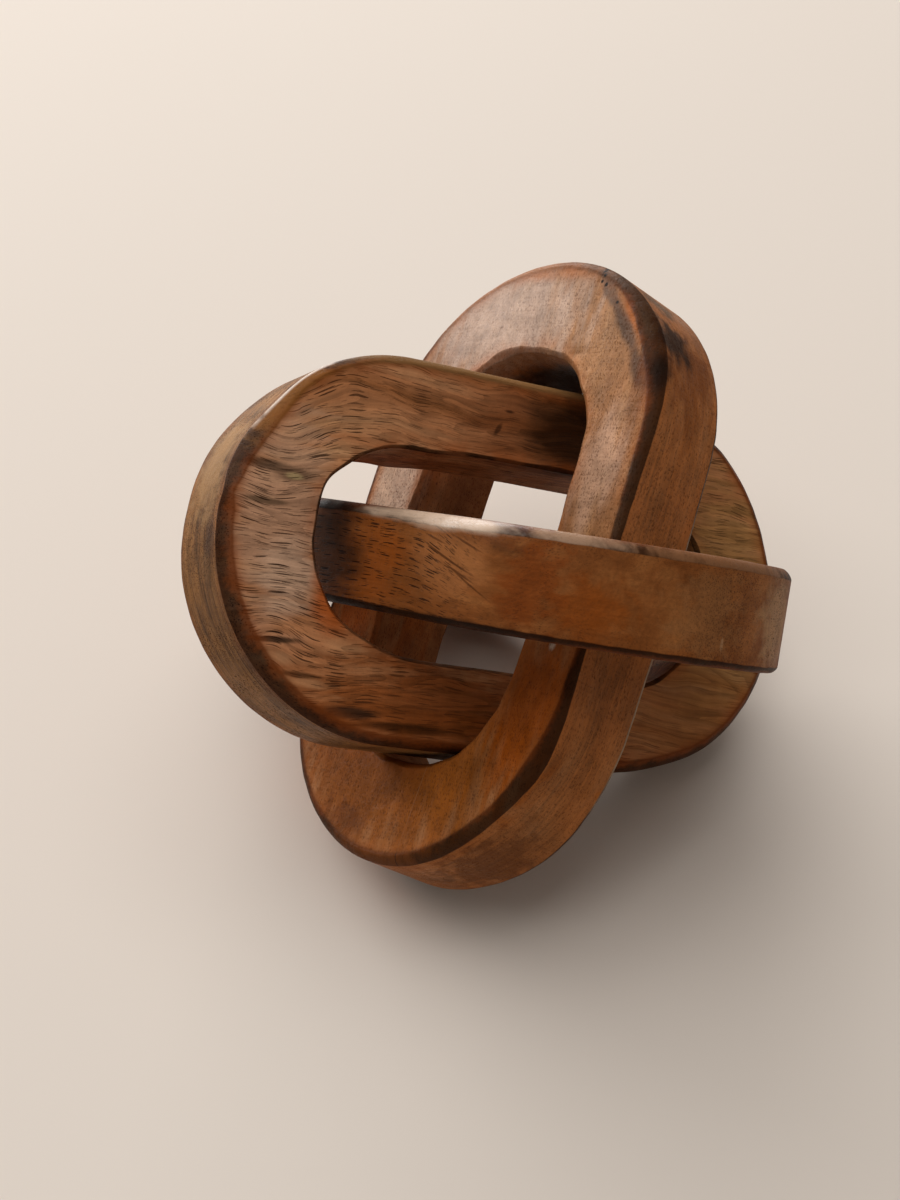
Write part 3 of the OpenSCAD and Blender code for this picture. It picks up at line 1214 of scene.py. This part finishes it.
UPRIGHT_WOOD = OiledHardwood(
    name="mango_wood_oiled_pink_brown",
    dark="#8e5e3a",
    middle="#a27048",
    pale="#b0825a",
    pore="#4e2810",
    stain="#100602",
    stain_glow="#5c2808",
    edge_glow="#a85e28",
    wall="#9c5824",
    wall_share=0.6,
    pores=Vessels(1.1, 0.34, 0.42, 0.4),
    dots=Vessels(0.7, 0.30, 0.40, 0.4),
    ring_depth=0.06,
    fibre_depth=0.05,
    bumps=0.2,
    mottle=0.28,
    stain_reach=1.65,
    rim_share=0.4,
    place=(-270, -65, 33),
    patches=(
        # Pale upper end and sides, partly the wood's own tone and partly painted sheen, and warm lower end
        Patch((58, 14, FACE), (26, 36, 12), "#b89e8c", 0.75),
        Patch((12, 33, FACE), (22, 12, 8), "#c0a48e", 0.7),
        Patch((71, 0, FACE), (4, 20, 8), "#b06d3c", 0.55),
        Patch((20, -31.5, FACE), (20, 9, 8), "#c09a80", 0.6),
        Patch((-52, 4, FACE), (34, 50, 14), "#8e4c10", 0.9),
        Patch((-34, -33, FACE), (28, 13, 12), "#9c4a08", 0.85),
        Patch((-66, 13, FACE), (6, 12, 8), "#5a2c10", 0.5, 0.9),
        # Painted shade at the lower end of the slot
        Patch((-49.5, 1.6, FACE), (3, 6, 5), "#3c1c08", 0.6),
        # Dark streak beside the upper bevel, with an orange edge
        Patch((58, -28.6, FACE), (9, 2.2, 6), "#b8662a", 0.8, 0.3, heading=41),
        Patch((64.5, -19, FACE), (9, 2.4, 6), "#55443a", 0.75, 0.25, heading=42),
        Patch((55.6, -27, FACE), (11.5, 2.6, 6), "#463830", 0.8, 0.25, heading=41),
        Patch((45.2, -35.4, FACE), (9, 3.6, 6), "#3c2c24", 0.8, 0.35, heading=38),
        # Heavy stain on the outer wall
        Patch((50, -38, 0), (26, 9, 14), "#6a340e", 0.7, 0.8, Lies.OVER),
        Patch((55, -36, 4), (11, 8, 8), "#180c06", 0.85, 0.7, Lies.OVER),
        Patch((47, -40, 9.5), (11, 4, 4), "#120804", 0.8, 0.4, Lies.OVER),
        Patch((66, -26, 2), (6, 6, 8), "#3c3020", 0.7, 0.7, Lies.OVER),
        # Darker lower end wall, painted shade where it faces the floor
        Patch((-66, -20, -2), (12, 24, 12), "#552e14", 0.6, 0.8, Lies.OVER),
        # Painted shade inside the upper end of the slot, warm left side, and two chips
        Patch((50, 2, -4), (13, 32, 11.5), "#180b04", 0.9, 0.3),
        Patch((-12, 33, FACE), (18, 12, 8), "#b0581a", 0.75),
        Patch((-16, 22, 0), (18, 4, 11), "#9a5018", 0.7),
        Patch((-46.3, -40.4, -9.4), (1.8, 2, 1.4), "#b2682c", 0.8, 0.4),
        Patch((-19.5, -34.4, FACE), (1.8, 1.3, 2), "#cdb9a6", 0.75, 0.8),
        # Warm upper and lower bevels, and a painted glint along the back bevel of the right side
        Patch((60, 12, 10.2), (30, 36, 9), "#9a6238", 0.85, 0.3, Lies.BEVEL),
        Patch((-70, 2, 10), (14, 20, 6), "#6e3c18", 0.65, 0.7, Lies.BEVEL),
        Patch((-18, -43, -10.6), (56, 9, 3), "#a88c70", 0.8, 0.6, Lies.BEVEL),
        # Pin holes, most of them on the glue line
        *(
            Patch((x, y, z), (long, wide, 2), "#140b06", 1.0, 0.1, Lies.OVER)
            for x, y, z, long, wide in (
                (70.2, -14.6, 11.2, 0.7, 0.6),
                (71.2, -14.2, 10.2, 0.7, 0.7),
                (69, -15.3, 11.2, 0.7, 0.6),
                (67.4, -15, 11.2, 0.6, 0.6),
                (66.6, -16.6, 11.2, 0.7, 0.6),
                (62, -21.8, 11.2, 0.6, 0.6),
            )
        ),
    ),
    polishes=(Spot((60, 18, FACE), (14, 22, 4), 0.3),),
    fills=(Spot((60, 20, FACE), (18, 24, 10), 0.6),),
)

LEFT_LINK = CarvedLink(
    body="left_link",
    step=0.0,
    lean=(3.1, 6.1, 3.7),
    strays=(
        Stray(Line.SLOT_FRONT, 27, -22, 10, -1.2),
        Stray(Line.SLOT_BACK, 27, -22, 10, -1.4),
        Stray(Line.SLOT_FRONT, 49.5, -12, 5, 1.3),
        Stray(Line.SLOT_FRONT, 36, 21, 8, -1.0),
        Stray(Line.OUTER_FRONT, 64, -27, 9, -0.9),
        Stray(Line.OUTER_BACK, 62, -29, 16, -1.1),
        Stray(Line.OUTER_BACK, 73, -6, 12, -0.7),
        Stray(Line.OUTER_FRONT, -70, -13, 12, -0.9),
        Stray(Line.OUTER_FRONT, -54, -38, 10, 1.0),
        Stray(Line.OUTER_FRONT, -43, 40, 10, -0.9),
        Stray(Line.OUTER_BACK, -58.1, 33.5, 12, -0.5),
    ),
    bevel_cuts=(
        BevelCut(-22, 10, 1.2),
        BevelCut(-7, 2.5, -0.8),
        BevelCut(22, 26, 0.9),
        BevelCut(-100, 40, -0.9),
    ),
    phase=0.3,
)
CROSS_LINK = CarvedLink(
    body="cross_link",
    step=120.0,
    lean=(5.1, 6.9, 2.6),
    strays=(Stray(Line.OUTER_BACK, -59.2, 32.6, 12, -0.8),),
    bevel_cuts=(BevelCut(-70, 22, 0.8),),
    roundness=0.15,
    phase=1.9,
)
UPRIGHT_LINK = CarvedLink(
    body="upright_link",
    step=240.0,
    lean=(8.1, 9.4, -2.1),
    sizes=LinkSizes(rim=1.2),
    strays=(
        Stray(Line.SLOT_FRONT, 50, -3, 10, -1.6),
        Stray(Line.SLOT_FRONT, 40, -18, 9, -1.3),
        Stray(Line.SLOT_FRONT, -12, -24, 16, 1.2),
        Stray(Line.SLOT_BACK, 49, 5, 9, -2.8),
        Stray(Line.SLOT_FRONT, -51, 1, 9, -1.4),
        Stray(Line.SLOT_FRONT, -23, 22, 8, -1.0),
        Stray(Line.SLOT_FRONT, 2, 24, 14, 0.7),
        Stray(Line.OUTER_FRONT, -62, -30, 14, -0.7),
        Stray(Line.OUTER_BACK, -60, -31, 14, 1.0),
        Stray(Line.OUTER_BACK, 0, -43.4, 30, 0.8),
        Stray(Line.OUTER_BACK, -62.4, 29.4, 12, -0.7),
    ),
    bevel_cuts=(BevelCut(-44, 14, 1.6), BevelCut(-105, 35, -0.6), BevelCut(-146, 8, 0.9)),
    dents=(Dent(49.6, -14.6, 0.9, 1.6, 0.35),),
    roundness=0.18,
    phase=4.1,
)


def settle(piece: bpy.types.Object, body: str, node: str) -> None:
    """Ties a piece to the body that it moves with, and hides the CAD node that it stands for.

    Args:
        piece: The piece.
        body: Name of the body.
        node: Name of the CAD node.
    """
    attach(piece, body)
    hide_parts(node)
    LOG.info("%s: %d faces, rides on %s", piece.name, len(piece.data.polygons), body)


def main() -> None:
    """Builds the knot link by link, then the studio."""
    logging.basicConfig(level=logging.INFO, format="%(name)s: %(message)s")
    for link, wood, slot in ((LEFT_LINK, LEFT_WOOD, "left_wood"), (CROSS_LINK, CROSS_WOOD, "cross_wood")):
        place = link.placement([link.body])
        piece = link.piece(f"{link.body}_wood", Share.WHOLE, place, wood.build(place))
        settle(piece, link.body, link.body)
    halves = {"upright_link_left_half": Share.LEFT_HALF, "upright_link_right_half": Share.RIGHT_HALF}
    place = UPRIGHT_LINK.placement(list(halves))
    wood = UPRIGHT_WOOD.build(place)
    for node, part in halves.items():
        settle(UPRIGHT_LINK.piece(f"{node}_wood", part, place, wood), UPRIGHT_LINK.body, node)
    film = UPRIGHT_LINK.piece("upright_link_glue_line", Share.GLUE, place, DriedGlue().build(place))
    settle(film, UPRIGHT_LINK.body, "upright_link_glue")
    Studio().build()


if __name__ == "__main__":
    main()
